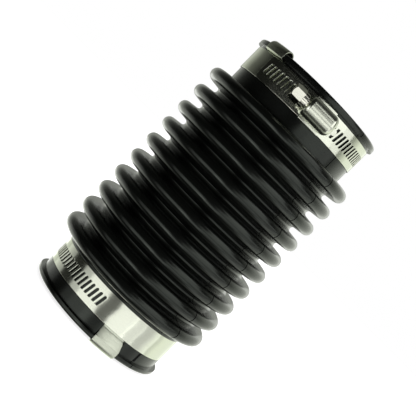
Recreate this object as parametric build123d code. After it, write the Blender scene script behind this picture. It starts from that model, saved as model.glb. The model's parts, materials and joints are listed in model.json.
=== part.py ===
from build123d import *

import os
from collections import namedtuple
from math import asin, cos, degrees, radians, sin

# A moulded rubber bellows boot. A worm-drive hose clamp and a sheet-metal clip sit on each cuff.
#
# Frame: +Z runs along the boot from the centre of the lower cuff's end face. Lengths are in
# millimetres and angles in degrees. An angle around the boot is counted from -Y toward +X,
# so -Y is the front. Heights on a cuff count from its own end face.

# Bellows
BORE_R = 35.0
RIB_COUNT = 10
RIB_PITCH = 12.134
CREST_R = 50.0
CREST_ROUND = 3.75
FLANK_FLARE = 7.0
VALLEY_R = 40.0
WALL = 2.5

# Lower cuff, with a stop flange between its band and the first rib
LOWER_CUFF_LENGTH = 26.6
LOWER_BORE_LENGTH = 24.0
LOWER_NECK_R = 40.7
LOWER_SEAT_R = 40.0
LOWER_LIP_R = 43.0
LOWER_LIP_LENGTH = 2.7
LOWER_LIP_ROUND = 1.5
STOP_FLANGE_R = 41.2
STOP_FLANGE_WIDTH = 1.3
STOP_FLANGE_GAP = 0.6

# Upper cuff
UPPER_CUFF_LENGTH = 26.4
UPPER_BORE_LENGTH = 24.0
UPPER_NECK_R = 40.0
UPPER_NECK_RUN = 0.6
UPPER_SEAT_R = 39.8
UPPER_LIP_R = 42.15
UPPER_LIP_LENGTH = 3.15
UPPER_LIP_ROUND = 1.4

# Where the clamps and clips sit
LOWER_CLAMP_HEIGHT = 16.1
LOWER_CLAMP_TILT = -1.8
LOWER_HOUSING_ANGLE = -169.4
LOWER_CLIP_ANGLE = 18.5
UPPER_CLAMP_HEIGHT = 11.7
UPPER_HOUSING_ANGLE = 9.8
UPPER_CLIP_ANGLE = -48.5

# Gaps between pieces that press on each other, and around what turns
FIT_GAP = 0.05
RUNNING_GAP = 0.1

# Clamp band: angles count from the middle of the housing, where the tail laps over the start
BAND_WIDTH = 14.3
BAND_THICKNESS = 0.7
BAND_START_ANGLE = -1.0
RAMP_TOP_ANGLE = 1.0
RAMP_FOOT_ANGLE = 10.0
TAIL_END_ANGLE = -56.8
TAIL_CORNER = 1.8
SLOT_LENGTH = 6.5
SLOT_WIDTH = 1.5
SLOT_SLANT_ANGLE = 8.9
SLOT_PITCH_ANGLE = 4.13
SLOT_COUNT = 53
FIRST_SLOT_ANGLE = -51.2

# Screw, from its worm out to its head
WORM_R = 4.9
WORM_LIFT = 0.2
NECK_R = 3.2
NECK_LENGTH = 2.35
COLLAR_R = 4.2
COLLAR_LENGTH = 2.5
HEX_ACROSS_FLATS = 7.94
HEX_LENGTH = 6.1
HEX_CHAMFER = 0.6
DRIVER_SLOT_WIDTH = 1.2
DRIVER_SLOT_DEPTH = 1.5

# Housing over the worm, with an apron and a tongue that lie on the band past its end
HOUSING_LENGTH = 18.2
HOUSING_WALL = 0.95
HOUSING_FRONT_ROUND = 2.0
HOUSING_END_ROUND = 3.0
FOOT_REACH = 7.1
FOOT_THICKNESS = 0.6
FOOT_ANGLE = 18.0
APRON_WIDTH = 7.8
APRON_TIP_ANGLE = 16.0
TONGUE_WIDTH = 3.2
TONGUE_TIP_ANGLE = 19.6
TONGUE_ROUND = 1.5
NOTCH_R = 0.45

# Saddle that holds the housing down on the band
SADDLE_THICKNESS = 0.6
SADDLE_BEND = 0.4
SADDLE_ANGLE = 18.0
SADDLE_CORNER = 0.9

# Clip hooked over a cuff's lip, with its leg under the band
CLIP_WIDTH = 16.0
CLIP_THICKNESS = 0.6
CLIP_BEND = 0.5
CLIP_LEG_COVER = 1.5
LOWER_CURL_R = 2.6
LOWER_CLIP_SLOPE = 5.0
UPPER_CURL_R = 3.6
UPPER_CLIP_SLOPE = 0.6

# Sizes worked out from those above
FLARE_SIN, FLARE_COS = sin(radians(FLANK_FLARE)), cos(radians(FLANK_FLARE))
CREST_CENTRE_R = CREST_R - CREST_ROUND
FLANK_DROP = CREST_CENTRE_R - VALLEY_R
VALLEY_ROUND = (RIB_PITCH / 2 * FLARE_COS - CREST_ROUND - FLANK_DROP * FLARE_SIN) / (1 - FLARE_SIN)
VALLEY_CENTRE_R = VALLEY_R + VALLEY_ROUND
INNER_VALLEY_R = VALLEY_R - WALL


def flank_half_width(radius, inset):
    """Half the width of a rib at a radius, on a surface set in from the outside by inset."""
    return (CREST_ROUND - inset + (CREST_CENTRE_R - radius) * FLARE_SIN) / FLARE_COS


ROOT_HALF_WIDTH = flank_half_width(VALLEY_R, 0)
FIRST_RIB = LOWER_CUFF_LENGTH + ROOT_HALF_WIDTH
LAST_RIB = FIRST_RIB + (RIB_COUNT - 1) * RIB_PITCH
LENGTH = LAST_RIB + ROOT_HALF_WIDTH + UPPER_CUFF_LENGTH

LAYER_STEP = BAND_THICKNESS + FIT_GAP
CAVITY_R = WORM_R + RUNNING_GAP
HOUSING_R = CAVITY_R + HOUSING_WALL
CAVITY_LENGTH = HOUSING_LENGTH - 2 * HOUSING_WALL
CAVITY_FRONT_ROUND = HOUSING_FRONT_ROUND - HOUSING_WALL
CAVITY_END_ROUND = HOUSING_END_ROUND - HOUSING_WALL
WORM_LENGTH = CAVITY_LENGTH - 2 * RUNNING_GAP
SADDLE_WALL = (BAND_WIDTH + SADDLE_THICKNESS) / 2 + FIT_GAP
SADDLE_HALF_WIDTH = SADDLE_WALL + SADDLE_THICKNESS / 2

Cuff = namedtuple(
    "Cuff", "top lip_r lip_length lip_round seat_r height tilt housing_angle clip_angle curl_r slope"
)
LOWER = Cuff(
    top=False,
    lip_r=LOWER_LIP_R,
    lip_length=LOWER_LIP_LENGTH,
    lip_round=LOWER_LIP_ROUND,
    seat_r=LOWER_SEAT_R,
    height=LOWER_CLAMP_HEIGHT,
    tilt=LOWER_CLAMP_TILT,
    housing_angle=LOWER_HOUSING_ANGLE,
    clip_angle=LOWER_CLIP_ANGLE,
    curl_r=LOWER_CURL_R,
    slope=LOWER_CLIP_SLOPE,
)
UPPER = Cuff(
    top=True,
    lip_r=UPPER_LIP_R,
    lip_length=UPPER_LIP_LENGTH,
    lip_round=UPPER_LIP_ROUND,
    seat_r=UPPER_SEAT_R,
    height=UPPER_CLAMP_HEIGHT,
    tilt=0.0,
    housing_angle=UPPER_HOUSING_ANGLE,
    clip_angle=UPPER_CLIP_ANGLE,
    curl_r=UPPER_CURL_R,
    slope=UPPER_CLIP_SLOPE,
)


# Shared construction


def polar(radius, angle):
    """Point at an angle counted from -Y toward +X."""
    return (radius * sin(radians(angle)), -radius * cos(radians(angle)))


def arc(radius, start, stop):
    """Arc about the origin from one such angle to another. Its seam is at its own start."""
    return Rot(0, 0, start - 90) * CenterArc((0, 0), radius, 0, stop - start)


def rectangle(x_low, x_high, y_low, y_high):
    """Rectangle between two corners."""
    return Pos((x_low + x_high) / 2, (y_low + y_high) / 2) * Rectangle(x_high - x_low, y_high - y_low)


def turned(profile, start=0.0, stop=360.0):
    """Turn a (radius, height) profile about Z from one angle to another."""
    return Rot(0, 0, start - 90) * revolve(Plane.XZ * profile, Axis.Z, stop - start)


def across(section, start, stop):
    """Extrude a (height, radius) section along the housing's tangent, from start to stop."""
    plane = Plane(origin=(start, 0, 0), x_dir=(0, 0, 1), z_dir=(1, 0, 0))
    return extrude(plane * section, stop - start)


def round_tip(strip, radius_at, angle, half_width, round_r):
    """Round the two corners at the end of a strip that lies on a cylinder."""
    corners = [(*polar(radius_at, angle), side * half_width) for side in (-1, 1)]
    return fillet([strip.edges().sort_by_distance(corner)[0] for corner in corners], round_r)


def clamp_place(cuff):
    """Where a clamp drawn about Z, with its housing toward -Y, goes on its cuff."""
    height = LENGTH - cuff.height if cuff.top else cuff.height
    return Pos(0, 0, height) * Rot(cuff.tilt, 0, 0) * Rot(0, 0, cuff.housing_angle)


def on_cuff(profile, cuff):
    """A profile whose heights count from a cuff's end face, at its height on the boot."""
    return Pos(0, LENGTH) * mirror(profile, Plane.XZ) if cuff.top else profile


# Boot


def turn(centre_r, centre_z, reach):
    """Arc of a crest, or of a valley where reach is negative, between the flanks it meets."""
    side_r = centre_r + reach * FLARE_SIN
    run = abs(reach) * FLARE_COS
    return ThreePointArc((side_r, centre_z - run), (centre_r + reach, centre_z), (side_r, centre_z + run))


def wave(inset, foot_r):
    """Crests, valleys and flanks, set in from the outside by inset, with both ends at foot_r."""
    arcs = []
    for i in range(RIB_COUNT):
        centre_z = FIRST_RIB + i * RIB_PITCH
        arcs.append(turn(CREST_CENTRE_R, centre_z, CREST_ROUND - inset))
        arcs.append(turn(VALLEY_CENTRE_R, centre_z + RIB_PITCH / 2, -VALLEY_ROUND - inset))
    arcs.pop()
    half = flank_half_width(foot_r, inset)
    first = Line((foot_r, FIRST_RIB - half), arcs[0] @ 0)
    flanks = [Line(below @ 1, above @ 0) for below, above in zip(arcs, arcs[1:])]
    last = Line(arcs[-1] @ 1, (foot_r, LAST_RIB + half))
    return [first, *arcs, *flanks, last]


def lip_corner(radius, round_r, end, way):
    """Arc from a cuff's end face to the rim of its lip, where way points into the cuff."""
    centre_r, centre_z = radius - round_r, end + way * round_r
    middle = (centre_r + round_r * sin(radians(45)), centre_z - way * round_r * sin(radians(45)))
    return ThreePointArc((centre_r, end), middle, (radius, centre_z))


def boot_profile():
    """Section through the boot's wall, as (radius, height)."""
    outside = wave(0, VALLEY_R)
    inside = wave(WALL, INNER_VALLEY_R)
    low_corner = lip_corner(LOWER_LIP_R, LOWER_LIP_ROUND, 0, 1)
    high_corner = lip_corner(UPPER_LIP_R, UPPER_LIP_ROUND, LENGTH, -1)
    flange_top = LOWER_CUFF_LENGTH - STOP_FLANGE_GAP
    neck_foot = LENGTH - UPPER_CUFF_LENGTH + UPPER_NECK_RUN
    lower_outside = Polyline(
        low_corner @ 1,
        (LOWER_LIP_R, LOWER_LIP_LENGTH),
        (LOWER_NECK_R, LOWER_LIP_LENGTH),
        (LOWER_NECK_R, flange_top - STOP_FLANGE_WIDTH),
        (STOP_FLANGE_R, flange_top - STOP_FLANGE_WIDTH),
        (STOP_FLANGE_R, flange_top),
        (VALLEY_R, flange_top),
        outside[0] @ 0,
    )
    upper_outside = Polyline(
        outside[-1] @ 1,
        (UPPER_NECK_R, neck_foot),
        (UPPER_NECK_R, LENGTH - UPPER_LIP_LENGTH),
        (UPPER_LIP_R, LENGTH - UPPER_LIP_LENGTH),
        high_corner @ 1,
    )
    upper_inside = Polyline(
        high_corner @ 0,
        (BORE_R, LENGTH),
        (BORE_R, LENGTH - UPPER_BORE_LENGTH),
        (INNER_VALLEY_R, LENGTH - UPPER_BORE_LENGTH),
        inside[-1] @ 1,
    )
    lower_inside = Polyline(
        inside[0] @ 0,
        (INNER_VALLEY_R, LOWER_BORE_LENGTH),
        (BORE_R, LOWER_BORE_LENGTH),
        (BORE_R, 0),
        low_corner @ 0,
    )
    cuffs = [low_corner, lower_outside, upper_outside, high_corner, upper_inside, lower_inside]
    return make_face([*cuffs, *outside, *inside])


def clamp_recess(cuff):
    """Seat of a band in the cuff, with a pocket for the saddle's plate."""
    half = BAND_WIDTH / 2 + FIT_GAP
    saddle_half = SADDLE_HALF_WIDTH + FIT_GAP
    saddle_turn = SADDLE_ANGLE / 2 + degrees(FIT_GAP / cuff.seat_r)
    floor = saddle_plate_r(cuff) - SADDLE_THICKNESS / 2 - FIT_GAP
    seat = turned(rectangle(cuff.seat_r, CREST_R, -half, half))
    pocket = turned(rectangle(floor, CREST_R, -saddle_half, saddle_half), -saddle_turn, saddle_turn)
    return seat + pocket


def clip_recess(cuff):
    """Pocket in the cuff for the leg of its clip."""
    leg_r, leg_end, _, step_top = clip_leg(cuff)
    floor = leg_r - CLIP_THICKNESS / 2 - FIT_GAP
    half_turn = clip_half_turn(cuff) + degrees(FIT_GAP / cuff.seat_r)
    pocket = on_cuff(rectangle(floor, cuff.lip_r, step_top, leg_end + FIT_GAP), cuff)
    return turned(pocket, cuff.clip_angle - half_turn, cuff.clip_angle + half_turn)


def make_boot():
    """The moulded boot, with the seats that the clamps and clips lie in."""
    boot = turned(boot_profile())
    for cuff in (LOWER, UPPER):
        boot -= clamp_place(cuff) * clamp_recess(cuff)
        boot -= clip_recess(cuff)
    return boot


# Clamp: drawn about Z at height 0, with the housing toward -Y


def band_r(cuff):
    """Inner radius of a clamp's band."""
    return cuff.seat_r + FIT_GAP


def tail_top_r(cuff):
    """Outer radius of the band's tail, which the worm and the housing lie on."""
    return band_r(cuff) + LAYER_STEP + BAND_THICKNESS


def screw_r(cuff):
    """Distance from the boot's axis to the screw's."""
    return tail_top_r(cuff) + WORM_LIFT + WORM_R


def saddle_plate_r(cuff):
    """Radius of the middle of the saddle's plate, under the band."""
    return band_r(cuff) - FIT_GAP - SADDLE_THICKNESS / 2


def ramp(radius, start, stop):
    """The band's rise between its two layers, for the surface that is at this radius below."""
    radii = {RAMP_FOOT_ANGLE: radius, RAMP_TOP_ANGLE: radius + LAYER_STEP}
    middle = polar(radius + LAYER_STEP / 2, (RAMP_FOOT_ANGLE + RAMP_TOP_ANGLE) / 2)
    return ThreePointArc(polar(radii[start], start), middle, polar(radii[stop], stop))


def band_profile(inner_r):
    """The strip seen along Z: once round, up the ramp under the housing, and on as the tail."""
    outer_r = inner_r + BAND_THICKNESS
    foot = RAMP_FOOT_ANGLE - 360
    under = [arc(inner_r, BAND_START_ANGLE, foot), ramp(inner_r, RAMP_FOOT_ANGLE, RAMP_TOP_ANGLE)]
    under.append(arc(inner_r + LAYER_STEP, RAMP_TOP_ANGLE, TAIL_END_ANGLE))
    over = [arc(outer_r + LAYER_STEP, TAIL_END_ANGLE, RAMP_TOP_ANGLE)]
    over += [ramp(outer_r, RAMP_TOP_ANGLE, RAMP_FOOT_ANGLE), arc(outer_r, foot, BAND_START_ANGLE)]
    ends = [Line(under[-1] @ 1, over[0] @ 0), Line(over[-1] @ 1, under[0] @ 0)]
    return make_face([*under, *over, *ends])


def band_envelope(cuff):
    """Everything inside the band's outer surface, with a running gap over it."""
    outer_r = band_r(cuff) + BAND_THICKNESS + RUNNING_GAP
    tail = arc(outer_r + LAYER_STEP, TAIL_END_ANGLE, RAMP_TOP_ANGLE)
    rise = ramp(outer_r, RAMP_TOP_ANGLE, RAMP_FOOT_ANGLE)
    rest = arc(outer_r, RAMP_FOOT_ANGLE, TAIL_END_ANGLE + 360)
    face = make_face([tail, rise, rest, Line(rest @ 1, tail @ 0)])
    return Pos(0, 0, -BAND_WIDTH / 2) * extrude(face, BAND_WIDTH)


def slot_cutter(cuff, angle):
    """Slanted slot for the worm. In the tail it stops short of the layer below."""
    inner_r = band_r(cuff)
    low_r = inner_r + BAND_THICKNESS + FIT_GAP / 2 if angle < RAMP_TOP_ANGLE else inner_r - FIT_GAP
    depth = tail_top_r(cuff) + FIT_GAP - low_r
    outline = SlotOverall(SLOT_LENGTH, SLOT_WIDTH, rotation=90 - SLOT_SLANT_ANGLE)
    return Rot(0, 0, angle) * Pos(0, -low_r, 0) * extrude(Plane.XZ * outline, depth)


def make_band(cuff):
    """Slotted strip that laps over itself under the housing."""
    band = Pos(0, 0, -BAND_WIDTH / 2) * extrude(band_profile(band_r(cuff)), BAND_WIDTH)
    tail_r = tail_top_r(cuff) - BAND_THICKNESS / 2
    band = round_tip(band, tail_r, TAIL_END_ANGLE, BAND_WIDTH / 2, TAIL_CORNER)
    return band - [slot_cutter(cuff, FIRST_SLOT_ANGLE + i * SLOT_PITCH_ANGLE) for i in range(SLOT_COUNT)]


def arch(cuff, radius):
    """Section of the housing: a round top over straight sides that run down to the band."""
    sides = rectangle(-radius, radius, band_r(cuff), screw_r(cuff))
    return sides + Pos(0, screw_r(cuff)) * Circle(radius)


def tunnel(cuff, radius, length, front_round, end_round):
    """An arch extruded along the screw, with both ends rounded."""
    body = across(arch(cuff, radius), -length / 2, length / 2)
    for side, round_r in ((0, front_round), (-1, end_round)):
        body = fillet(body.faces().sort_by(Axis.X)[side].edges().sort_by(Axis.Y)[:-1], round_r)
    return body


def screw_bar(cuff, radius, start, stop):
    """Round bar on the screw's axis."""
    return across(Pos(0, screw_r(cuff)) * Circle(radius), start, stop)


def tongue_notch(cuff, side):
    """Round notch where one side of the tongue meets the apron."""
    notch = Pos(0, -tail_top_r(cuff), side * (TONGUE_WIDTH / 2 + NOTCH_R)) * Rot(90, 0, 0)
    return Rot(0, 0, APRON_TIP_ANGLE) * notch * Cylinder(NOTCH_R, HOUSING_R)


def make_housing(cuff):
    """Pressed housing: arched cover, front wall round the screw's neck, feet, apron and tongue."""
    foot_r = tail_top_r(cuff) + RUNNING_GAP
    tongue_r = foot_r - LAYER_STEP
    cover = tunnel(cuff, HOUSING_R, HOUSING_LENGTH, HOUSING_FRONT_ROUND, HOUSING_END_ROUND)
    foot = rectangle(foot_r, foot_r + FOOT_THICKNESS, -FOOT_REACH, FOOT_REACH)
    foot = turned(foot, -FOOT_ANGLE / 2, FOOT_ANGLE / 2)
    apron = rectangle(tongue_r, foot_r, -APRON_WIDTH / 2, APRON_WIDTH / 2)
    apron = turned(apron, RAMP_FOOT_ANGLE, APRON_TIP_ANGLE) - [tongue_notch(cuff, side) for side in (-1, 1)]
    tongue = rectangle(tongue_r, foot_r, -TONGUE_WIDTH / 2, TONGUE_WIDTH / 2)
    tongue = turned(tongue, RAMP_FOOT_ANGLE, TONGUE_TIP_ANGLE)
    tongue = round_tip(tongue, (tongue_r + foot_r) / 2, TONGUE_TIP_ANGLE, TONGUE_WIDTH / 2, TONGUE_ROUND)
    housing = cover + foot + apron + tongue
    housing -= tunnel(cuff, CAVITY_R, CAVITY_LENGTH, CAVITY_FRONT_ROUND, CAVITY_END_ROUND)
    housing -= screw_bar(cuff, NECK_R + RUNNING_GAP, -HOUSING_LENGTH / 2, 0)
    return housing - band_envelope(cuff)


def make_saddle(cuff):
    """Channel under the band, with its sides folded in over the housing's feet."""
    plate_r = saddle_plate_r(cuff)
    tab_r = tail_top_r(cuff) + RUNNING_GAP + FOOT_THICKNESS + FIT_GAP + SADDLE_THICKNESS / 2
    tab_edge = HOUSING_R + FIT_GAP
    path = FilletPolyline(
        (tab_r, -tab_edge),
        (tab_r, -SADDLE_WALL),
        (plate_r, -SADDLE_WALL),
        (plate_r, SADDLE_WALL),
        (tab_r, SADDLE_WALL),
        (tab_r, tab_edge),
        radius=SADDLE_BEND,
    )
    saddle = turned(trace(path, SADDLE_THICKNESS), -SADDLE_ANGLE / 2, SADDLE_ANGLE / 2)
    for angle in (-SADDLE_ANGLE / 2, SADDLE_ANGLE / 2):
        saddle = round_tip(saddle, tab_r, angle, tab_edge, SADDLE_CORNER)
    return saddle


def make_screw(cuff):
    """Worm, neck, collar and slotted hexagon head, turned in one."""
    worm_front = -WORM_LENGTH / 2
    collar_back = worm_front - NECK_LENGTH
    hex_back = collar_back - COLLAR_LENGTH
    hex_front = hex_back - HEX_LENGTH
    worm = screw_bar(cuff, WORM_R, worm_front, WORM_LENGTH / 2)
    for side, round_r in ((0, CAVITY_FRONT_ROUND), (-1, CAVITY_END_ROUND)):
        worm = fillet(worm.faces().sort_by(Axis.X)[side].edges(), round_r)
    neck = screw_bar(cuff, NECK_R, collar_back, worm_front)
    collar = screw_bar(cuff, COLLAR_R, hex_back, collar_back)
    hexagon = RegularPolygon(HEX_ACROSS_FLATS / 2, 6, major_radius=False)
    head = across(Pos(0, screw_r(cuff)) * hexagon, hex_front, hex_back)
    blank = screw_bar(cuff, HEX_ACROSS_FLATS / 2 / cos(radians(30)), hex_front, hex_back)
    head &= chamfer(blank.faces().sort_by(Axis.X)[0].edges(), HEX_CHAMFER)
    slot_end = hex_front + DRIVER_SLOT_DEPTH
    slot_top = screw_r(cuff) + DRIVER_SLOT_WIDTH / 2
    slot = rectangle(-HEX_ACROSS_FLATS, HEX_ACROSS_FLATS, slot_top - DRIVER_SLOT_WIDTH, slot_top)
    return worm + neck + collar + head - across(slot, hex_front, slot_end)


# Clip: drawn as (radius, height), with heights counted from the cuff's end face


def clip_half_turn(cuff):
    """Half the angle that a clip spans."""
    return degrees(CLIP_WIDTH / 2 / (cuff.lip_r + CLIP_THICKNESS))


def clip_leg(cuff):
    """Radius of a clip's leg, the height of its end, and the heights where it steps out."""
    tilt_sin = sin(radians(cuff.tilt))
    leg_r = band_r(cuff) - BAND_WIDTH / 2 * abs(tilt_sin) - FIT_GAP - CLIP_THICKNESS / 2
    band_rise = polar(cuff.seat_r, cuff.clip_angle)[1] * tilt_sin
    band_edge = cuff.height - BAND_WIDTH / 2 + (-band_rise if cuff.top else band_rise)
    step_middle = (band_edge + cuff.lip_length) / 2
    leg_end = band_edge + BAND_WIDTH - CLIP_LEG_COVER
    return leg_r, leg_end, step_middle + cuff.slope / 2, step_middle - cuff.slope / 2


def make_clip(cuff):
    """Strip whose leg lies under the band, steps out over the lip and curls round the end face."""
    leg_r, leg_end, step_foot, step_top = clip_leg(cuff)
    over_r = cuff.lip_r + FIT_GAP + CLIP_THICKNESS / 2
    tip_lift = degrees(asin((cuff.lip_round + FIT_GAP) / (cuff.curl_r - CLIP_THICKNESS / 2)))
    strip = FilletPolyline(
        (leg_r, leg_end), (leg_r, step_foot), (over_r, step_top), (over_r, cuff.lip_round), radius=CLIP_BEND
    )
    curl = CenterArc((over_r - cuff.curl_r, cuff.lip_round), cuff.curl_r, 0, tip_lift - 180)
    profile = on_cuff(trace([strip, curl], CLIP_THICKNESS), cuff)
    half_turn = clip_half_turn(cuff)
    return turned(profile, cuff.clip_angle - half_turn, cuff.clip_angle + half_turn)


def all_parts():
    """Every piece in its place on the boot, by name."""
    parts = {"boot": make_boot()}
    for name, cuff in (("lower", LOWER), ("upper", UPPER)):
        place = clamp_place(cuff)
        parts[name + "_band"] = place * make_band(cuff)
        parts[name + "_housing"] = place * make_housing(cuff)
        parts[name + "_saddle"] = place * make_saddle(cuff)
        parts[name + "_screw"] = place * make_screw(cuff)
        parts[name + "_clip"] = make_clip(cuff)
    return parts


def main():
    os.makedirs("parts", exist_ok=True)
    for name, part in all_parts().items():
        export_step(part, "parts/" + name + ".step")


if __name__ == "__main__":
    main()
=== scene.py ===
"""Finish and studio for a moulded rubber bellows boot with its worm-drive clamps and edge clips.

Lengths are in metres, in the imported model's frame: +Z runs up the boot from the middle of its
lower cuff's end face. An angle round the boot is counted in degrees from -Y toward +X, so -Y is
the front.
"""

import json
from collections import namedtuple
from math import atan2, cos, degrees, pi, radians, sin, tan

import bmesh
import bpy
from mathutils import Matrix, Vector

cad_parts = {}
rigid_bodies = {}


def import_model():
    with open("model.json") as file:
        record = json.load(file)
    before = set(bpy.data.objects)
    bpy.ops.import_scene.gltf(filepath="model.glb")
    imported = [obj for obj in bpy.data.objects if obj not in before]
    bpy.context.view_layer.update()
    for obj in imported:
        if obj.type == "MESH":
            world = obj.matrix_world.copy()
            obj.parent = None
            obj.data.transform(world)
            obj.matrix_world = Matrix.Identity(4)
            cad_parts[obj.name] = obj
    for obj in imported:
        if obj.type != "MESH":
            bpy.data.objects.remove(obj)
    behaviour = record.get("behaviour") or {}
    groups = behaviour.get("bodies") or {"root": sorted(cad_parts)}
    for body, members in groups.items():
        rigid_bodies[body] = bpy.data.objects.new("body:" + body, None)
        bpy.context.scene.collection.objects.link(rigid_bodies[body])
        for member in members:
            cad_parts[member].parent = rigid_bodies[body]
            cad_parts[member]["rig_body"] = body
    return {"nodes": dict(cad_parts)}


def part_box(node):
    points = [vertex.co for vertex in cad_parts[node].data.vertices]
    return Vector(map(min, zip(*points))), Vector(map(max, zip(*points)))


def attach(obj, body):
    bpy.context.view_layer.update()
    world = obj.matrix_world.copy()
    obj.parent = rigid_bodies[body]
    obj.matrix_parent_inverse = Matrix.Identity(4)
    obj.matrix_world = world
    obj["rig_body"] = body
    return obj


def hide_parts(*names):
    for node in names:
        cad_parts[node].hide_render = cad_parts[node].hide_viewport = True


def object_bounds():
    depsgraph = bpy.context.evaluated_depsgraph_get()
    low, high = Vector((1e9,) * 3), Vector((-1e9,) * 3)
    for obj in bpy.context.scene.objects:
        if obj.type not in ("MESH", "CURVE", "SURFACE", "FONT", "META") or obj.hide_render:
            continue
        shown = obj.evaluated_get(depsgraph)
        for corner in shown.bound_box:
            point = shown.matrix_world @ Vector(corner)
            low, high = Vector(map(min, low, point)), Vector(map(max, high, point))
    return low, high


bl_info = {
    "name": "Bellows boot",
    "version": (1, 0, 0),
    "blender": (4, 5, 0),
    "location": "View3D > Sidebar > Bellows boot",
    "description": "Dresses a bellows boot with its clamps and clips, and sets it in a studio",
    "category": "Object",
}

MM = 0.001

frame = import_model()
CAD_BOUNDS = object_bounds()
BOOT_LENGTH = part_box("boot")[1].z

# Gap between pieces that press on each other
FIT_GAP = 0.05 * MM

# Boot, with the places of its parting line's two creases and half the width of one in degrees
BORE_RADIUS = 35 * MM
BORE_DEPTH = 24 * MM
FLANGE_RADIUS = 41.2 * MM
FLANGE_WIDTH = 1.3 * MM
FLANGE_GAP = 0.6 * MM
SEAM_ANGLES = (-134.0, 46.0)
SEAM_HALF_WIDTH = 0.4
RUBBER_ROUND = 0.08 * MM

# Clamp band, with angles counted from the middle of its housing. It is spun as two strips, which
# join on the ramp, halfway between two slots.
BAND_WIDTH = 14.3 * MM
BAND_THICKNESS = 0.7 * MM
LAYER_STEP = BAND_THICKNESS + FIT_GAP
BAND_START = -1.0
RAMP_TOP = 1.0
RAMP_JOIN = 8.685
RAMP_FOOT = 10.0
TAIL_END = -56.8
TAIL_CORNER = 1.8 * MM
FIRST_SLOT = -51.2
SLOT_PITCH = 4.13
BAND_ROUND = 0.25 * MM

# Rounding of a slot's corners in slot widths, room for the tail's corners in their own radii, and
# how far a face of the strip may look outward and still be one of its sheared edges, which take
# the edges' dark colour of painted shade
SLOT_CORNER = 0.46
CORNER_ROOM = 1.1
SHEARED_TURN = 0.5

CLIP_WIDTH = 16 * MM
CLIP_THICKNESS = 0.6 * MM
CLIP_LEG_COVER = 1.5 * MM

# Distances within which points count as one: anywhere, after a join or a fine bevel, and after
# the slots' corners are rounded
SAME_POINT = 0.001 * MM
SLIVER = 0.01 * MM
SLOT_SLIVER = 0.02 * MM

# Angles in degrees that still count as a strip's cut end, and as part of the strip past its end
NEAR_END = 0.1
PAST_END = 1.0

# Fineness: degrees from one column of edges to the next, and edges in each arc of a section
BOOT_STEP = 1.8
BAND_STEP = 2.6
LIP_STEPS = 5
CREST_STEPS = 12
INNER_CREST_STEPS = 6
VALLEY_STEPS = 8

# Least turn in degrees across an edge that is rounded
RUBBER_SHARP = 40
BAND_SHARP = 50
PRESSED_SHARP = 35

# Each cuff, with heights counted from its own end face. A clip's pocket starts where its leg
# steps in over the lip.
Cuff = namedtuple(
    "Cuff",
    "name top length neck_radius lip_radius lip_length lip_round seat_radius clamp_height tilt"
    " housing_angle clip_angle pocket_start pocket_radius",
)
LOWER = Cuff(
    name="lower",
    top=False,
    length=26.6 * MM,
    neck_radius=40.7 * MM,
    lip_radius=43 * MM,
    lip_length=2.7 * MM,
    lip_round=1.5 * MM,
    seat_radius=40 * MM,
    clamp_height=16.1 * MM,
    tilt=-1.8,
    housing_angle=-169.4,
    clip_angle=18.5,
    pocket_start=3.92 * MM,
    pocket_radius=39.125 * MM,
)
UPPER = Cuff(
    name="upper",
    top=True,
    length=26.4 * MM,
    neck_radius=40 * MM,
    lip_radius=42.15 * MM,
    lip_length=3.15 * MM,
    lip_round=1.4 * MM,
    seat_radius=39.8 * MM,
    clamp_height=11.7 * MM,
    tilt=0.0,
    housing_angle=9.8,
    clip_angle=-48.5,
    pocket_start=3.55 * MM,
    pocket_radius=39.15 * MM,
)


# Sizes and colours that a user would change


class BootSettings(bpy.types.PropertyGroup):
    """The moulded boot."""

    rib_count: bpy.props.IntProperty(
        name="Ribs", description="Number of ribs along the bellows", default=10
    )
    rib_pitch: bpy.props.FloatProperty(
        name="Rib pitch",
        description="Distance from crest to crest",
        default=12.134 * MM,
        unit="LENGTH",
    )
    crest_radius: bpy.props.FloatProperty(
        name="Crest radius",
        description="Radius over the ribs",
        default=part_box("boot")[1].y,
        unit="LENGTH",
    )
    crest_round: bpy.props.FloatProperty(
        name="Crest rounding",
        description="Radius of a crest's section",
        default=3.75 * MM,
        unit="LENGTH",
    )
    valley_radius: bpy.props.FloatProperty(
        name="Valley radius",
        description="Radius between the ribs",
        default=40 * MM,
        unit="LENGTH",
    )
    flank_flare: bpy.props.FloatProperty(
        name="Flank flare",
        description="Slope of a rib's flanks",
        default=radians(7),
        subtype="ANGLE",
    )
    wall: bpy.props.FloatProperty(
        name="Wall",
        description="Thickness of the bellows' wall",
        default=2.5 * MM,
        unit="LENGTH",
    )
    seam_depth: bpy.props.FloatProperty(
        name="Parting line",
        description="Depth of the moulding's parting line",
        default=0.55 * MM,
        unit="LENGTH",
    )
    rubber_colour: bpy.props.StringProperty(
        name="Rubber colour", description="sRGB hex colour of the rubber", default="080908"
    )


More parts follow.
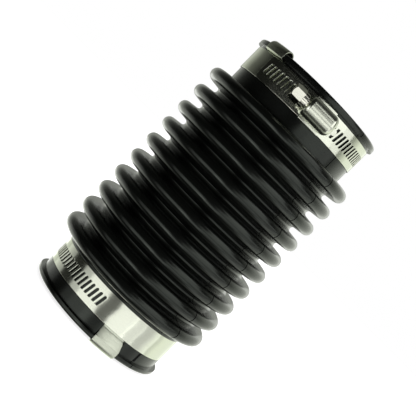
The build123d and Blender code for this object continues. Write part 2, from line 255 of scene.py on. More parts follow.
class ClampSettings(bpy.types.PropertyGroup):
    """The worm-drive clamps and the clips."""

    slot_count: bpy.props.IntProperty(
        name="Slots", description="Number of slots in a band", default=53
    )
    slot_length: bpy.props.FloatProperty(
        name="Slot length",
        description="Length of a slot across the band",
        default=6.5 * MM,
        unit="LENGTH",
    )
    slot_width: bpy.props.FloatProperty(
        name="Slot width",
        description="Width of a slot along the band",
        default=1.5 * MM,
        unit="LENGTH",
    )
    slot_slant: bpy.props.FloatProperty(
        name="Slot slant",
        description="Slant that fits the worm's thread",
        default=radians(8.9),
        subtype="ANGLE",
    )
    edge_round: bpy.props.FloatProperty(
        name="Edge rounding",
        description="Rounding of the pressed edges",
        default=0.12 * MM,
        unit="LENGTH",
    )
    strip_colour: bpy.props.StringProperty(
        name="Strip colour",
        description="sRGB hex colour of the stainless strip",
        default="e9eddc",
    )
    # The edges' dark colour is painted shade: it darkens the slots' walls and the strip's edges
    edge_shade_colour: bpy.props.StringProperty(
        name="Edge colour",
        description="sRGB hex colour of the strip's sheared edges",
        default="34362f",
    )
    screw_colour: bpy.props.StringProperty(
        name="Screw colour",
        description="sRGB hex colour of the screws' plating",
        default="efefe0",
    )
    clip_colour: bpy.props.StringProperty(
        name="Clip colour",
        description="sRGB hex colour of the clips' plating",
        default="d3d8c6",
    )


class StudioSettings(bpy.types.PropertyGroup):
    """The floor, the lights and the camera."""

    background_colour: bpy.props.StringProperty(
        name="Background", description="sRGB hex colour of the background", default="ffffff"
    )
    lens: bpy.props.FloatProperty(
        name="Lens", description="Focal length in millimetres", default=82.33, unit="CAMERA"
    )


# Shared bmesh steps


def start_outline(bm, radius, height):
    """First point of a section drawn in the plane of -Y."""
    return bm.verts.new((0, -radius, height))


def line_to(bm, tip, radius, height):
    """Extend a section by a straight edge."""
    point = bm.verts.new((0, -radius, height))
    bm.edges.new((tip, point))
    return point


def arc_about(bm, tip, centre_radius, centre_height, turn, steps):
    """Extend a section by an arc about a centre. A positive turn from below goes outward."""
    spun = bmesh.ops.spin(
        bm,
        geom=[tip],
        cent=(0, -centre_radius, centre_height),
        axis=(-1, 0, 0),
        angle=turn,
        steps=steps,
    )
    return spun["geom_last"][0]


def angle_of(point):
    """Angle round the boot of a point."""
    return degrees(atan2(point.x, -point.y))


def radius_of(point):
    """Distance of a point from the boot's axis."""
    return point.xy.length


def set_radius(vert, radius):
    """Move a vertex to a radius along its own direction from the axis."""
    vert.co.xy *= radius / radius_of(vert.co)


def spin_through(bm, angles, step):
    """Spin a section from one listed angle to the next, so that a column of edges lies at each."""
    turn = Matrix.Rotation(radians(angles[0]), 3, "Z")
    bmesh.ops.rotate(bm, verts=bm.verts, cent=(0, 0, 0), matrix=turn)
    section = [*bm.verts, *bm.edges]
    for start, stop in zip(angles, angles[1:]):
        spun = bmesh.ops.spin(
            bm,
            geom=section,
            cent=(0, 0, 0),
            axis=(0, 0, 1),
            angle=radians(stop - start),
            steps=max(1, round((stop - start) / step)),
        )
        section = spun["geom_last"]
    bmesh.ops.remove_doubles(bm, verts=bm.verts, dist=SAME_POINT)


def sharp_edges(bm, least_angle):
    """Edges where the surface turns by more than an angle."""
    limit = radians(least_angle)
    return [edge for edge in bm.edges if edge.is_manifold and edge.calc_face_angle() > limit]


def round_edges(bm, edges, width, segments=2, clamp=True):
    """Bevel edges to a small rounding."""
    bmesh.ops.bevel(
        bm,
        geom=edges,
        offset=width,
        offset_type="OFFSET",
        segments=segments,
        profile=0.5,
        affect="EDGES",
        material=-1,
        clamp_overlap=clamp,
    )


def finished_piece(name, bm, node, *materials):
    """Turn a bmesh into the piece that stands for a CAD node and rides on its body."""
    mesh = bpy.data.meshes.new(name)
    bm.to_mesh(mesh)
    bm.free()
    mesh.shade_smooth()
    for material in materials:
        mesh.materials.append(material)
    piece = bpy.data.objects.new(name, mesh)
    bpy.context.scene.collection.objects.link(piece)
    even = piece.modifiers.new("Even shading", "WEIGHTED_NORMAL")
    even.keep_sharp = True
    carrier = frame["nodes"][node]
    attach(piece, carrier["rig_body"])
    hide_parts(node)
    return piece


def merged_copy(node):
    """A copy of a CAD node's mesh with its loose triangles joined and its flat faces made whole."""
    bm = bmesh.new()
    bm.from_mesh(frame["nodes"][node].data)
    bmesh.ops.remove_doubles(bm, verts=bm.verts, dist=SAME_POINT)
    flat = radians(0.5)
    bmesh.ops.dissolve_limit(bm, angle_limit=flat, verts=bm.verts, edges=bm.edges)
    return bm


def clamp_place(cuff):
    """Where a clamp drawn about Z, with its housing toward -Y, goes on its cuff."""
    height = BOOT_LENGTH - cuff.clamp_height if cuff.top else cuff.clamp_height
    tilt = Matrix.Rotation(radians(cuff.tilt), 4, "X")
    turn = Matrix.Rotation(radians(cuff.housing_angle), 4, "Z")
    return Matrix.Translation((0, 0, height)) @ tilt @ turn


# Materials


def linear(hex_colour):
    """A linear RGBA colour from an sRGB hex string."""
    channels = [int(hex_colour[i : i + 2], 16) / 255 for i in (0, 2, 4)]
    return [c / 12.92 if c <= 0.04045 else ((c + 0.055) / 1.055) ** 2.4 for c in channels] + [1.0]


def add_node(tree, kind, inputs=None, **settings):
    """Add a node with its settings, and set or link its inputs by name or number."""
    node = tree.nodes.new(kind)
    for key, value in settings.items():
        setattr(node, key, value)
    for key, value in (inputs or {}).items():
        if isinstance(value, bpy.types.NodeSocket):
            tree.links.new(value, node.inputs[key])
        else:
            node.inputs[key].default_value = value
    return node


def new_material(name):
    """A material with an empty node tree."""
    material = bpy.data.materials.new(name)
    material.use_nodes = True
    material.node_tree.nodes.clear()
    return material, material.node_tree


def moulded_rubber(colour):
    """Compression-moulded EPDM rubber: deep black, glossy at a glance from the film that blooms to
    its surface, and faintly lined around by the turned mould."""
    material, tree = new_material("moulded_epdm_rubber")
    place = add_node(tree, "ShaderNodeTexCoord").outputs["Object"]
    # The mould's turning marks, drawn about 0.8 mm apart so that they still show
    around = add_node(tree, "ShaderNodeMapping", {"Vector": place, "Scale": (1, 1, 18)})
    lines = add_node(
        tree,
        "ShaderNodeTexNoise",
        {
            "Vector": around.outputs[0],
            "Scale": 1 / (14 * MM),
            "Detail": 2.0,
            "Roughness": 0.5,
        },
    )
    lined = add_node(
        tree,
        "ShaderNodeBump",
        {"Strength": 1.0, "Distance": 0.009 * MM, "Height": lines.outputs["Fac"]},
    )
    # The blasted mould's fine grain, half a millimetre across
    grain = add_node(
        tree,
        "ShaderNodeTexNoise",
        {"Vector": place, "Scale": 1 / (0.5 * MM), "Detail": 2.0, "Roughness": 0.6},
    )
    bump = add_node(
        tree,
        "ShaderNodeBump",
        {
            "Strength": 0.08,
            "Distance": 0.05 * MM,
            "Height": grain.outputs["Fac"],
            "Normal": lined.outputs[0],
        },
    )
    # The film's patches, some 14 mm across, each a little glossier or duller
    bloom = add_node(
        tree, "ShaderNodeTexNoise", {"Vector": place, "Scale": 1 / (14 * MM), "Detail": 4.0}
    )
    rough = add_node(
        tree,
        "ShaderNodeMapRange",
        {
            "Value": bloom.outputs["Fac"],
            "From Min": 0.3,
            "From Max": 0.7,
            "To Min": 0.17,
            "To Max": 0.24,
        },
    )
    # The film itself is the coat: softer than the rubber's own gloss, which it tints faintly green
    shader = add_node(
        tree,
        "ShaderNodeBsdfPrincipled",
        {
            "Base Color": linear(colour),
            "Roughness": rough.outputs[0],
            "IOR": 1.45,
            "Specular Tint": linear("dcebd8"),
            "Normal": bump.outputs[0],
            "Coat Weight": 1.0,
            "Coat Roughness": 0.25,
            "Coat IOR": 1.25,
            "Coat Normal": bump.outputs[0],
        },
    )
    add_node(tree, "ShaderNodeOutputMaterial", {"Surface": shader.outputs[0]})
    return material


def trimmed_rubber(colour):
    """Rubber where the flash was trimmed off: torn and dull, so it reads as a dark line."""
    material, tree = new_material("trimmed_epdm_flash")
    place = add_node(tree, "ShaderNodeTexCoord").outputs["Object"]
    # Tears about 0.4 mm across
    tears = add_node(
        tree, "ShaderNodeTexNoise", {"Vector": place, "Scale": 1 / (0.4 * MM), "Detail": 2.0}
    )
    bump = add_node(
        tree,
        "ShaderNodeBump",
        {"Strength": 0.5, "Distance": 0.1 * MM, "Height": tears.outputs["Fac"]},
    )
    shader = add_node(
        tree,
        "ShaderNodeBsdfPrincipled",
        {"Base Color": linear(colour), "Roughness": 0.85, "IOR": 1.35, "Normal": bump.outputs[0]},
    )
    add_node(tree, "ShaderNodeOutputMaterial", {"Surface": shader.outputs[0]})
    return material


def bright_steel(name, colour, roughness, unevenness=0.2):
    """Bright steel whose roughness varies, by a share of itself, in faint lines round the boot."""
    material, tree = new_material(name)
    place = add_node(tree, "ShaderNodeTexCoord").outputs["Object"]
    # The rolls' lines, drawn 0.25 mm apart so that they still show
    along = add_node(tree, "ShaderNodeMapping", {"Vector": place, "Scale": (1, 1, 12)})
    grain = add_node(
        tree,
        "ShaderNodeTexNoise",
        {"Vector": along.outputs[0], "Scale": 1 / (3 * MM), "Detail": 3.0, "Roughness": 0.6},
    )
    rough = add_node(
        tree,
        "ShaderNodeMapRange",
        {
            "Value": grain.outputs["Fac"],
            "From Min": 0.3,
            "From Max": 0.7,
            "To Min": roughness * (1 - unevenness),
            "To Max": roughness * (1 + unevenness),
        },
    )
    shader = add_node(
        tree,
        "ShaderNodeBsdfPrincipled",
        {"Base Color": linear(colour), "Metallic": 1.0, "Roughness": rough.outputs[0]},
    )
    add_node(tree, "ShaderNodeOutputMaterial", {"Surface": shader.outputs[0]})
    return material


# Boot


def seat_edge(cuff, side):
    """Height on the cuff of one edge of its band's seat."""
    return cuff.clamp_height + side * (BAND_WIDTH / 2 + FIT_GAP)


def leg_end(cuff):
    """Height on the cuff where the pocket for the clip's leg ends, under the band."""
    return cuff.clamp_height + BAND_WIDTH / 2 - CLIP_LEG_COVER + FIT_GAP


def lower_cuff_outline(bm, tip, valley_radius):
    """The lower cuff's outside, from its lip to the first rib, with the band's seat and flange."""
    flange_top = LOWER.length - FLANGE_GAP
    for radius, height in (
        (LOWER.lip_radius, LOWER.lip_length),
        (LOWER.neck_radius, LOWER.lip_length),
        (LOWER.neck_radius, LOWER.pocket_start),
        (LOWER.neck_radius, seat_edge(LOWER, -1)),
        (LOWER.seat_radius, seat_edge(LOWER, -1)),
        (LOWER.seat_radius, leg_end(LOWER)),
        (LOWER.seat_radius, seat_edge(LOWER, 1)),
        (LOWER.neck_radius, seat_edge(LOWER, 1)),
        (LOWER.neck_radius, flange_top - FLANGE_WIDTH),
        (FLANGE_RADIUS, flange_top - FLANGE_WIDTH),
        (FLANGE_RADIUS, flange_top),
        (valley_radius, flange_top),
        (valley_radius, LOWER.length),
    ):
        tip = line_to(bm, tip, radius, height)
    return tip


def upper_cuff_outline(bm, tip):
    """The upper cuff's outside, from the last rib to the start of its lip's rounding."""
    for radius, drop in (
        (UPPER.neck_radius, UPPER.length),
        (UPPER.neck_radius, seat_edge(UPPER, 1)),
        (UPPER.seat_radius, seat_edge(UPPER, 1)),
        (UPPER.seat_radius, leg_end(UPPER)),
        (UPPER.seat_radius, seat_edge(UPPER, -1)),
        (UPPER.neck_radius, seat_edge(UPPER, -1)),
        (UPPER.neck_radius, UPPER.pocket_start),
        (UPPER.neck_radius, UPPER.lip_length),
        (UPPER.lip_radius, UPPER.lip_length),
        (UPPER.lip_radius, UPPER.lip_round),
    ):
        tip = line_to(bm, tip, radius, BOOT_LENGTH - drop)
    return tip


def rib_half_width(sizes, inset):
    """Half the width of a rib at its foot, on a surface set in from the outside by inset."""
    rise = sizes.crest_radius - sizes.crest_round - sizes.valley_radius + inset
    return (sizes.crest_round - inset + rise * sin(sizes.flank_flare)) / cos(sizes.flank_flare)


def rib_height(sizes, index):
    """Height of a rib's crest."""
    return LOWER.length + rib_half_width(sizes, 0) + index * sizes.rib_pitch


def wave_outline(bm, tip, sizes, inset, way, crest_steps):
    """Crests and valleys set in from the outside by inset, drawn up the boot or down it by way."""
    flare = sizes.flank_flare
    crest_centre = sizes.crest_radius - sizes.crest_round
    drop = crest_centre - sizes.valley_radius
    half_pitch = sizes.rib_pitch / 2
    room = half_pitch * cos(flare) - sizes.crest_round - drop * sin(flare)
    valley_round = room / (1 - sin(flare))
    ribs = range(sizes.rib_count) if way > 0 else reversed(range(sizes.rib_count))
    turn = way * (radians(180) - 2 * flare)
    for i in ribs:
        crest_height = rib_height(sizes, i)
        reach = sizes.crest_round - inset
        start_height = crest_height - way * reach * cos(flare)
        tip = line_to(bm, tip, crest_centre + reach * sin(flare), start_height)
        tip = arc_about(bm, tip, crest_centre, crest_height, turn, crest_steps)
        if not 0 <= i + way < sizes.rib_count:
            continue
        reach = valley_round + inset
        centre_radius = sizes.valley_radius + valley_round
        valley_height = crest_height + way * half_pitch
        start_height = valley_height - way * reach * cos(flare)
        tip = line_to(bm, tip, centre_radius - reach * sin(flare), start_height)
        tip = arc_about(bm, tip, centre_radius, valley_height, -turn, VALLEY_STEPS)
    return tip


def boot_section(bm, sizes):
    """Closed section through the boot's wall. Its outside is marked for the parting line."""
    outside = bm.verts.layers.int.new("outside")
    corner = radians(90)
    lip_centre = LOWER.lip_radius - LOWER.lip_round
    start = start_outline(bm, lip_centre, 0)
    tip = arc_about(bm, start, lip_centre, LOWER.lip_round, corner, LIP_STEPS)
    tip = lower_cuff_outline(bm, tip, sizes.valley_radius)
    tip = wave_outline(bm, tip, sizes, inset=0, way=1, crest_steps=CREST_STEPS)
    tip = upper_cuff_outline(bm, tip)
    lip_centre = UPPER.lip_radius - UPPER.lip_round
    tip = arc_about(bm, tip, lip_centre, BOOT_LENGTH - UPPER.lip_round, corner, LIP_STEPS)
    for vert in bm.verts:
        vert[outside] = 1
    inner_valley = sizes.valley_radius - sizes.wall
    foot = rib_half_width(sizes, sizes.wall)
    tip = line_to(bm, tip, BORE_RADIUS, BOOT_LENGTH)
    tip = line_to(bm, tip, BORE_RADIUS, BOOT_LENGTH - BORE_DEPTH)
    tip = line_to(bm, tip, inner_valley, BOOT_LENGTH - BORE_DEPTH)
    tip = line_to(bm, tip, inner_valley, rib_height(sizes, sizes.rib_count - 1) + foot)
    tip = wave_outline(bm, tip, sizes, sizes.wall, way=-1, crest_steps=INNER_CREST_STEPS)
    tip = line_to(bm, tip, inner_valley, rib_height(sizes, 0) - foot)
    tip = line_to(bm, tip, inner_valley, BORE_DEPTH)
    tip = line_to(bm, tip, BORE_RADIUS, BORE_DEPTH)
    tip = line_to(bm, tip, BORE_RADIUS, 0)
    bm.edges.new((tip, start))
    return outside


def clip_sector(cuff):
    """The two angles between which a clip's pocket lies."""
    half = degrees(CLIP_WIDTH / 2 / (cuff.lip_radius + CLIP_THICKNESS) + FIT_GAP / cuff.seat_radius)
    return cuff.clip_angle - half, cuff.clip_angle + half


def tilt_seat(bm, cuff):
    """Tilt a band's seat with its clamp."""
    low, high = seat_edge(cuff, -1) - SLIVER, seat_edge(cuff, 1) + SLIVER
    least = cuff.seat_radius - SLIVER
    seat = [vert for vert in bm.verts if low < vert.co.z < high and radius_of(vert.co) > least]
    turn = Matrix.Rotation(radians(cuff.tilt), 3, "X")
    bmesh.ops.rotate(bm, verts=seat, cent=(0, 0, cuff.clamp_height), matrix=turn)


def cut_pocket(bm, cuff):
    """Push the rubber in under a clip's leg."""
    start, stop = clip_sector(cuff)
    # The middles of the faces under the leg lie below this, on a tilted seat too
    highest = (cuff.clamp_height + leg_end(cuff)) / 2

    def in_pocket(face):
        middle = face.calc_center_median()
        height = BOOT_LENGTH - middle.z if cuff.top else middle.z
        under_leg = cuff.pocket_start < height < highest
        on_outside = radius_of(middle) > cuff.pocket_radius
        return under_leg and on_outside and start < angle_of(middle) < stop

    faces = [face for face in bm.faces if in_pocket(face)]
    floor = bmesh.ops.extrude_face_region(bm, geom=faces)["geom"]
    bmesh.ops.delete(bm, geom=faces, context="FACES")
    for vert in floor:
        if isinstance(vert, bmesh.types.BMVert):
            set_radius(vert, cuff.pocket_radius)
    bmesh.ops.remove_doubles(bm, verts=bm.verts, dist=FIT_GAP)
    bmesh.ops.recalc_face_normals(bm, faces=bm.faces)


def crease_parting_line(bm, outside, depth):
    """Sink the column of edges at each joint of the mould into a fine crease with sharp edges."""

    def at_joint(vert):
        away = min(abs(angle_of(vert.co) - seam) for seam in SEAM_ANGLES)
        return vert[outside] and away < SEAM_HALF_WIDTH / 2

    bm.normal_update()
    sunk = {vert for vert in bm.verts if at_joint(vert)}
    for vert in sunk:
        vert.co -= vert.normal * depth
        for face in vert.link_faces:
            face.material_index = 1
            for edge in face.edges:
                if (edge.verts[0] in sunk) == (edge.verts[1] in sunk):
                    edge.smooth = False


class BELLOWS_OT_boot(bpy.types.Operator):
    """Spin the boot's wall, with the seats of its clamps and clips and its parting line"""

    bl_idname = "bellows.boot"
    bl_label = "Boot"

    def execute(self, context):
        sizes = context.scene.bellows_boot
        bm = bmesh.new()
        outside = boot_section(bm, sizes)
        marks = [angle for cuff in (LOWER, UPPER) for angle in clip_sector(cuff)]
        for angle in SEAM_ANGLES:
            marks += [angle - SEAM_HALF_WIDTH, angle, angle + SEAM_HALF_WIDTH]
        marks.sort()
        spin_through(bm, [*marks, marks[0] + 360], BOOT_STEP)
        bmesh.ops.recalc_face_normals(bm, faces=bm.faces)
        tilt_seat(bm, LOWER)
        for cuff in (LOWER, UPPER):
            cut_pocket(bm, cuff)
        round_edges(bm, sharp_edges(bm, RUBBER_SHARP), RUBBER_ROUND, clamp=False)
        bmesh.ops.remove_doubles(bm, verts=bm.verts, dist=SLIVER)
        crease_parting_line(bm, outside, sizes.seam_depth)
        rubber = moulded_rubber(sizes.rubber_colour)
        finished_piece("moulded_boot", bm, "boot", rubber, trimmed_rubber(sizes.rubber_colour))
        return {"FINISHED"}


# Clamps


def slot_angles(settings):
    """Angle of each slot's middle, from the middle of the housing."""
    return [FIRST_SLOT + i * SLOT_PITCH for i in range(settings.slot_count)]


def turn_between(angle, other):
    """Least turn from one angle to another."""
    return abs((angle - other + 180) % 360 - 180)


def punch_slots(bm, settings, slots, half_turn, end):
    """Take out the faces of each slot, and slant all columns of edges but the strip's cut end."""
    half_slot = settings.slot_length / 2

    def in_slot(face):
        middle = face.calc_center_median()
        within = any(turn_between(angle_of(middle), slot) < half_turn for slot in slots)
        return abs(middle.z) < half_slot and within

    bmesh.ops.delete(bm, geom=[face for face in bm.faces if in_slot(face)], context="FACES")
    for vert in bm.verts:
        beside_slot = abs(vert.co.z) < half_slot + SAME_POINT
        if beside_slot and turn_between(angle_of(vert.co), end) > NEAR_END:
            slant = vert.co.z * tan(settings.slot_slant) / radius_of(vert.co)
            vert.co.rotate(Matrix.Rotation(slant, 3, "Z"))


def strip(settings, radius, columns, end):
    """Inner skin of a stretch of band, with its slots and a column of edges at each given angle."""
    bm = bmesh.new()
    half_slot = settings.slot_length / 2
    tip = start_outline(bm, radius, -BAND_WIDTH / 2)
    for height in (-half_slot, half_slot, BAND_WIDTH / 2):
        tip = line_to(bm, tip, radius, height)
    half_turn = degrees(settings.slot_width / 2 / radius)
    slots = [angle for angle in slot_angles(settings) if columns[0] < angle < columns[-1]]
    marks = [angle + side * half_turn for angle in slots for side in (-1, 1)]
    spin_through(bm, sorted([*columns, *marks]), BAND_STEP)
    punch_slots(bm, settings, slots, half_turn, end)
    return bm


def lift_ramp(bm, radius, start):
    """Lift a skin from its start to the ramp's foot, up the ramp and on to the tail's layer."""
    for vert in bm.verts:
        angle = angle_of(vert.co)
        if start - PAST_END < angle < RAMP_FOOT:
            rise = (RAMP_FOOT - angle) / (RAMP_FOOT - RAMP_TOP)
            set_radius(vert, radius + LAYER_STEP * min(1, rise))


def thicken(bm, thickness):
    """Extrude a whole skin outward from the axis into a closed sheet."""
    skin = bmesh.ops.extrude_face_region(bm, geom=bm.faces)["geom"]
    for vert in skin:
        if isinstance(vert, bmesh.types.BMVert):
            set_radius(vert, radius_of(vert.co) + thickness)
    bmesh.ops.recalc_face_normals(bm, faces=bm.faces)


def radial_edges(bm, height):
    """Sharp edges through the sheet's thickness, at a height either side of the middle."""

    def through(edge):
        low, high = (vert.co for vert in edge.verts)
        level = abs(low.z - high.z) < SAME_POINT and abs(abs(low.z) - height) < SAME_POINT
        return level and abs(radius_of(low) - radius_of(high)) > BAND_THICKNESS / 2

    return [edge for edge in sharp_edges(bm, BAND_SHARP) if through(edge)]


def make_band(settings, cuff):
    """A slotted strip once round the cuff, up a ramp under the housing and on as the tail."""
    inner = cuff.seat_radius + FIT_GAP
    corner = CORNER_ROOM * degrees(TAIL_CORNER / inner)
    band_end = 360 + BAND_START
    band = strip(settings, inner, (RAMP_JOIN, band_end - corner, band_end), band_end)
    tail = strip(settings, inner, (TAIL_END, TAIL_END + corner, RAMP_JOIN), TAIL_END)
    lift_ramp(band, inner, RAMP_JOIN)
    lift_ramp(tail, inner, TAIL_END)
    mesh = bpy.data.meshes.new("tail")
    tail.to_mesh(mesh)
    tail.free()
    band.from_mesh(mesh)
    bpy.data.meshes.remove(mesh)
    bmesh.ops.remove_doubles(band, verts=band.verts, dist=SLIVER)
    thicken(band, BAND_THICKNESS)
    slot_corners = radial_edges(band, settings.slot_length / 2)
    round_edges(band, slot_corners, settings.slot_width * SLOT_CORNER, segments=4)
    round_edges(band, radial_edges(band, BAND_WIDTH / 2), TAIL_CORNER, segments=6)
    bmesh.ops.remove_doubles(band, verts=band.verts, dist=SLOT_SLIVER)
    round_edges(band, sharp_edges(band, BAND_SHARP), BAND_ROUND, segments=3, clamp=False)
    band.normal_update()
    # Faces that don't look outward, the slots' walls and the strip's edges, take the dark edge
    # material, which paints shade into the slots
    for face in band.faces:
        outward = face.calc_center_median().xy.normalized()
        face.material_index = int(abs(face.normal.xy.dot(outward)) < SHEARED_TURN)
    return band


class BELLOWS_OT_bands(bpy.types.Operator):
    """Roll each clamp's slotted band"""

    bl_idname = "bellows.bands"
    bl_label = "Clamp bands"

    def execute(self, context):
        settings = context.scene.bellows_clamps
        # Cold-rolled strip is near a mirror. Its edges tore as they were sheared, so they are
        # rough; their dark colour is painted shade that darkens the slots and the strip's edges.
        rolled = bright_steel("cold_rolled_stainless_strip", settings.strip_colour, 0.16)
        sheared_and_shaded = bright_steel("sheared_stainless_edge", settings.edge_shade_colour, 0.45)
        for cuff in (LOWER, UPPER):
            bm = make_band(settings, cuff)
            bmesh.ops.transform(bm, matrix=clamp_place(cuff), verts=bm.verts)
            finished_piece(cuff.name + "_slotted_band", bm, cuff.name + "_band", rolled, sheared_and_shaded)
        return {"FINISHED"}


def dress(context, part, suffix, material):
    """Stand a finished copy with rounded edges in for one node of each clamp."""
    settings = context.scene.bellows_clamps
    for cuff in (LOWER, UPPER):
        node = cuff.name + "_" + part
        bm = merged_copy(node)
        round_edges(bm, sharp_edges(bm, PRESSED_SHARP), settings.edge_round)
        finished_piece(node + suffix, bm, node, material)


class BELLOWS_OT_housings(bpy.types.Operator):
    """Finish the pressed housings and saddles"""

    bl_idname = "bellows.housings"
    bl_label = "Housings and saddles"

    def execute(self, context):
        colour = context.scene.bellows_clamps.strip_colour
        # Drawing stretches the strip's surface: a soft, even shine
        drawn = bright_steel("deep_drawn_stainless", colour, 0.24, unevenness=0.08)
        dress(context, "housing", "_pressing", drawn)
        dress(context, "saddle", "_pressing", drawn)
        return {"FINISHED"}


class BELLOWS_OT_screws(bpy.types.Operator):
    """Finish the worm screws"""

    bl_idname = "bellows.screws"
    bl_label = "Worm screws"

    def execute(self, context):
        colour = context.scene.bellows_clamps.screw_colour
        # Plating over a cold-headed screw: the brightest of the metals, a little warm
        plated = bright_steel("cold_headed_plated_steel", colour, 0.14)
        dress(context, "screw", "_turning", plated)
        return {"FINISHED"}


class BELLOWS_OT_clips(bpy.types.Operator):
    """Finish the folded clips"""

    bl_idname = "bellows.clips"
    bl_label = "Clips"

    def execute(self, context):
        colour = context.scene.bellows_clamps.clip_colour
        # Plated strip, dulled as it was folded: satin, with no clear reflection
        satin = bright_steel("folded_plated_strip", colour, 0.32)
        dress(context, "clip", "_fold", satin)
        return {"FINISHED"}


# Studio

# Softboxes by the angles in degrees that they fill, seen from the boot, and their radiance
Softbox = namedtuple("Softbox", "name azimuth elevation width height radiance")
SOFTBOX_DISTANCE = 2.5
SOFTBOXES = (
    Softbox("left_back_softbox", -113, -20, 30, 30, 0.3),
    Softbox("left_outer_softbox", -57, -19, 18, 34, 0.5),
    Softbox("left_softbox", -34, -20, 28, 36, 1.0),
    Softbox("left_inner_softbox", -14, -10, 12, 16, 1.0),
    Softbox("left_inner_low_softbox", -14, -28, 12, 20, 2.1),
    Softbox("low_softbox", 3, -35, 22, 28, 1.05),
    Softbox("right_low_softbox", 31, -16, 34, 22, 1.1),
    Softbox("right_deep_softbox", 40, -38, 52, 22, 0.4),
    Softbox("right_outer_low_softbox", 57, -16, 20, 22, 0.85),
    Softbox("far_right_low_softbox", 83, -16, 34, 26, 0.58),
    Softbox("far_right_deep_softbox", 80, -40, 28, 20, 0.8),
    Softbox("front_high_softbox", 20, 12, 16, 22, 1.0),
    Softbox("right_high_softbox", 49, 22, 42, 42, 1.2),
    Softbox("far_right_high_softbox", 79, 8, 18, 14, 1.0),
    Softbox("right_top_softbox", 60, 54, 34, 24, 1.3),
    Softbox("front_softbox", 3, -8, 22, 16, 0.1),
    Softbox("left_rim_softbox", -160, -35, 20, 60, 0.6),
    Softbox("right_rim_softbox", 160, 0, 20, 80, 0.25),
)

# Floor: how far it reaches to each side, its gap under the object, and the glow that makes it
# white to the camera
FLOOR_REACH = 3.0
FLOOR_GAP = 0.02 * MM
FLOOR_GREY = "f2f2f2"
FLOOR_GLOW = 0.78

# Room that reflections show in place of the background: dim on the camera's side, low down and
# high up, with a wall past the boot that grows paler to one side and is shaded straight behind
WALL_STARTS_TOWARD = (0.1, 1, -0.15)
WALL_PALES_TOWARD = (1.5, 0.75, -2.2)
WALL_LEAST = 0.14
ROOM_LOW = 0.024
ROOM_HIGH = 0.008
SHADE_BEHIND = 0.33
ROOM_TINT = "f4f8ec"

# Even light from all round on matt surfaces
FILL_LIGHT = 0.5

# Camera, aimed at a height and a little across from the boot's axis, with its sensor in millimetres
CAMERA_DISTANCE = 516.5 * MM
CAMERA_ELEVATION = 3.571
CAMERA_ACROSS = 0.956 * MM
CAMERA_AIM_HEIGHT = 86.18 * MM
SENSOR_WIDTH = 36
NEAREST_SEEN = 10 * MM


def make_floor(colour):
    """A plain pale floor under the boot."""
    bm = bmesh.new()
    bmesh.ops.create_grid(bm, x_segments=1, y_segments=1, size=FLOOR_REACH)
    bmesh.ops.translate(bm, verts=bm.verts, vec=(0, 0, CAD_BOUNDS[0][2] - FLOOR_GAP))
    mesh = bpy.data.meshes.new("floor")
    bm.to_mesh(mesh)
    bm.free()
    # Matt, and lifted to white for the camera, so that it meets the background without a line
    material, tree = new_material("pale_floor")
    path = add_node(tree, "ShaderNodeLightPath")
    seen = add_node(
        tree,
        "ShaderNodeMath",
        {0: path.outputs["Is Camera Ray"], 1: path.outputs["Is Glossy Ray"]},
        operation="MAXIMUM",
    )
    plain = add_node(tree, "ShaderNodeBsdfDiffuse", {"Color": linear(FLOOR_GREY)})
    glow = add_node(tree, "ShaderNodeEmission", {"Color": linear(colour), "Strength": FLOOR_GLOW})
    white = add_node(tree, "ShaderNodeAddShader", {0: plain.outputs[0], 1: glow.outputs[0]})
    mix = add_node(
        tree,
        "ShaderNodeMixShader",
        {0: seen.outputs[0], 1: plain.outputs[0], 2: white.outputs[0]},
    )
    add_node(tree, "ShaderNodeOutputMaterial", {"Surface": mix.outputs[0]})
    mesh.materials.append(material)
    floor = bpy.data.objects.new("floor", mesh)
    bpy.context.scene.collection.objects.link(floor)
    floor.visible_glossy = False
    floor.visible_shadow = False


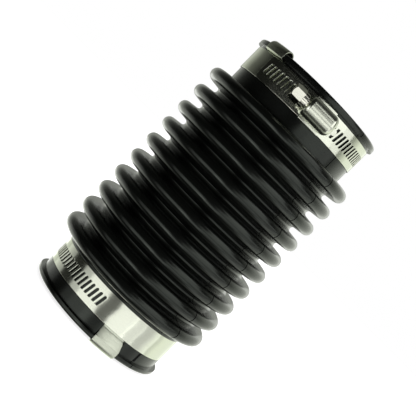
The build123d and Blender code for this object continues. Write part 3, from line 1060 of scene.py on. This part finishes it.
def make_world(colour):
    """The background that the camera sees, the room that reflections see, and an even fill."""
    world = bpy.data.worlds.new("studio")
    bpy.context.scene.world = world
    world.use_nodes = True
    tree = world.node_tree
    tree.nodes.clear()
    path = add_node(tree, "ShaderNodeLightPath")
    to_camera = path.outputs["Is Camera Ray"]
    direction = add_node(tree, "ShaderNodeTexCoord").outputs["Generated"]
    axes = add_node(tree, "ShaderNodeSeparateXYZ", {0: direction})
    # The wall, paler to one side
    toward_pale = add_node(
        tree, "ShaderNodeVectorMath", {0: direction, 1: WALL_PALES_TOWARD}, operation="DOT_PRODUCT"
    )
    wall = add_node(
        tree,
        "ShaderNodeMapRange",
        {
            "Value": toward_pale.outputs["Value"],
            "From Min": -1.0,
            "From Max": 0.5,
            "To Min": WALL_LEAST,
        },
    )
    # The dim room, a little brighter low down
    room = add_node(
        tree,
        "ShaderNodeMapRange",
        {
            "Value": axes.outputs["Z"],
            "From Min": -0.25,
            "From Max": 0.05,
            "To Min": ROOM_LOW,
            "To Max": ROOM_HIGH,
        },
    )
    toward_wall = add_node(
        tree, "ShaderNodeVectorMath", {0: direction, 1: WALL_STARTS_TOWARD}, operation="DOT_PRODUCT"
    )
    reflected = add_node(
        tree,
        "ShaderNodeMapRange",
        {
            "Value": toward_wall.outputs["Value"],
            "From Min": 0.0,
            "From Max": 0.52,
            "To Min": room.outputs[0],
            "To Max": wall.outputs[0],
        },
    )
    # The shade straight behind the boot
    shade = add_node(
        tree,
        "ShaderNodeMapRange",
        {"Value": axes.outputs["Y"], "From Min": 0.9, "To Min": 1.0, "To Max": SHADE_BEHIND},
    )
    shaded = add_node(
        tree, "ShaderNodeMath", {0: reflected.outputs[0], 1: shade.outputs[0]}, operation="MULTIPLY"
    )
    # The camera sees the plain background at full strength
    strength = add_node(
        tree, "ShaderNodeMath", {0: shaded.outputs[0], 1: to_camera}, operation="MAXIMUM"
    )
    tint = add_node(
        tree,
        "ShaderNodeMix",
        {"Factor": to_camera, "A": linear(ROOM_TINT), "B": linear(colour)},
        data_type="RGBA",
    )
    seen = add_node(
        tree,
        "ShaderNodeBackground",
        {"Color": tint.outputs["Result"], "Strength": strength.outputs[0]},
    )
    fill = add_node(
        tree, "ShaderNodeBackground", {"Color": linear("ffffff"), "Strength": FILL_LIGHT}
    )
    mix = add_node(
        tree,
        "ShaderNodeMixShader",
        {0: path.outputs["Is Diffuse Ray"], 1: seen.outputs[0], 2: fill.outputs[0]},
    )
    add_node(tree, "ShaderNodeOutputWorld", {"Surface": mix.outputs[0]})


def add_softbox(box):
    """A rectangular softbox that faces the boot and fills the given angles, seen from there."""
    target = Vector((0, 0, BOOT_LENGTH / 2))
    azimuth, elevation = radians(box.azimuth), radians(box.elevation)
    across = cos(elevation)
    outward = Vector((sin(azimuth) * across, -cos(azimuth) * across, sin(elevation)))
    light = bpy.data.lights.new(box.name, "AREA")
    light.shape = "RECTANGLE"
    light.size = 2 * SOFTBOX_DISTANCE * tan(radians(box.width / 2))
    light.size_y = 2 * SOFTBOX_DISTANCE * tan(radians(box.height / 2))
    light.energy = box.radiance * pi * light.size * light.size_y
    lamp = bpy.data.objects.new(box.name, light)
    lamp.location = target + outward * SOFTBOX_DISTANCE
    lamp.rotation_euler = outward.to_track_quat("Z", "Y").to_euler()
    bpy.context.scene.collection.objects.link(lamp)


def make_camera(lens):
    """The camera, a little above level and rolled so that the boot leans to the right."""
    elevation = radians(CAMERA_ELEVATION)
    back = Vector((0, -cos(elevation), sin(elevation)))
    up = Vector((0, sin(elevation), cos(elevation)))
    right = Vector((1, 0, 0))
    camera = bpy.data.cameras.new("camera")
    camera.lens = lens
    camera.sensor_width = SENSOR_WIDTH
    camera.clip_start = NEAREST_SEEN
    seen = bpy.data.objects.new("camera", camera)
    columns = ((up + right).normalized(), (up - right).normalized(), back)
    rows = [[*(column[i] for column in columns), 0] for i in range(3)]
    place = Matrix([*rows, [0, 0, 0, 1]])
    place.translation = Vector((CAMERA_ACROSS, 0, CAMERA_AIM_HEIGHT)) + back * CAMERA_DISTANCE
    seen.matrix_world = place
    bpy.context.scene.collection.objects.link(seen)
    bpy.context.scene.camera = seen


class BELLOWS_OT_stage(bpy.types.Operator):
    """Set the floor, the softboxes, the background and the camera"""

    bl_idname = "bellows.stage"
    bl_label = "Studio"

    def execute(self, context):
        studio = context.scene.bellows_studio
        make_floor(studio.background_colour)
        make_world(studio.background_colour)
        for box in SOFTBOXES:
            add_softbox(box)
        make_camera(studio.lens)
        context.scene.view_settings.view_transform = "Standard"
        return {"FINISHED"}


# Add-on


class VIEW3D_PT_bellows(bpy.types.Panel):
    """Steps that dress the boot, in order"""

    bl_label = "Bellows boot"
    bl_space_type = "VIEW_3D"
    bl_region_type = "UI"
    bl_category = "Bellows boot"

    def draw(self, context):
        scene = context.scene
        for settings in (scene.bellows_boot, scene.bellows_clamps, scene.bellows_studio):
            box = self.layout.box()
            for name in settings.__annotations__:
                box.prop(settings, name)
        for operator in OPERATORS:
            self.layout.operator(operator.bl_idname)


OPERATORS = (
    BELLOWS_OT_boot,
    BELLOWS_OT_bands,
    BELLOWS_OT_housings,
    BELLOWS_OT_screws,
    BELLOWS_OT_clips,
    BELLOWS_OT_stage,
)
CLASSES = (BootSettings, ClampSettings, StudioSettings, *OPERATORS, VIEW3D_PT_bellows)


def register():
    for cls in CLASSES:
        bpy.utils.register_class(cls)
    bpy.types.Scene.bellows_boot = bpy.props.PointerProperty(type=BootSettings)
    bpy.types.Scene.bellows_clamps = bpy.props.PointerProperty(type=ClampSettings)
    bpy.types.Scene.bellows_studio = bpy.props.PointerProperty(type=StudioSettings)


def unregister():
    del bpy.types.Scene.bellows_studio
    del bpy.types.Scene.bellows_clamps
    del bpy.types.Scene.bellows_boot
    for cls in reversed(CLASSES):
        bpy.utils.unregister_class(cls)


def main():
    register()
    bpy.ops.bellows.boot()
    bpy.ops.bellows.bands()
    bpy.ops.bellows.housings()
    bpy.ops.bellows.screws()
    bpy.ops.bellows.clips()
    bpy.ops.bellows.stage()


if __name__ == "__main__":
    main()
